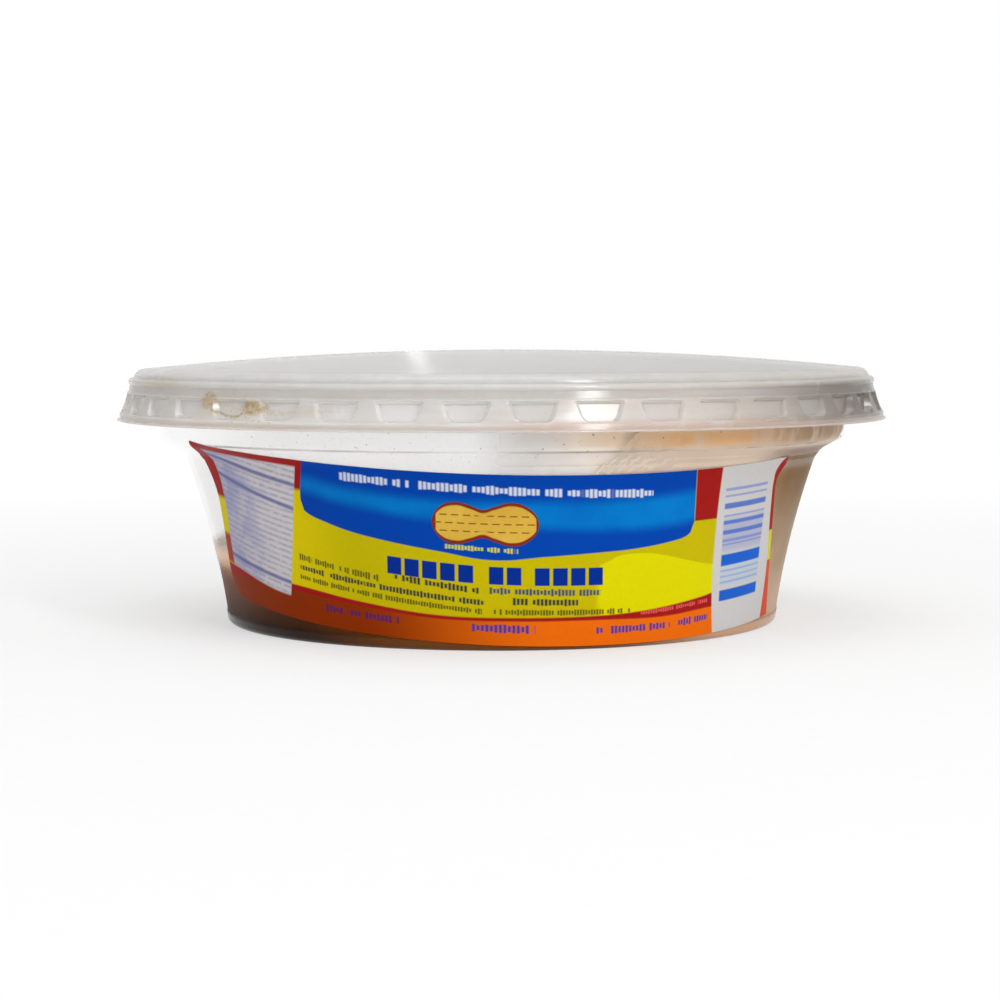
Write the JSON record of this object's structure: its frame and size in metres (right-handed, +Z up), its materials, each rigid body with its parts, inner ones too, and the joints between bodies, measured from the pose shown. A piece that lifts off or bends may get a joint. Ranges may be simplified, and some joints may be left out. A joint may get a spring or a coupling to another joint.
{
  "type": "tub of peanut butter",
  "caption": "Shallow round clear plastic tub of peanut butter with a translucent domed snap lid, a wrapped printed label and paste that has slumped to one side.",
  "frame": {"origin": "centre of the base, on the surface the tub stands on", "axes": "+Z up through the middle of the lid, -Y towards the middle of the label's side, +X to the label's right end"},
  "size_m": [0.1176, 0.1176, 0.0415],
  "materials": {
    "tub_plastic": "clear moulded polypropylene",
    "lid_plastic": "translucent moulded polypropylene",
    "label_print": "glossy printed sheet",
    "paste": "smooth oily paste"
  },
  "bodies": {
    "root": {"tub": "tub_plastic", "lid": "lid_plastic", "label": "label_print", "peanut_butter": "paste"}
  },
  "joints": []
}
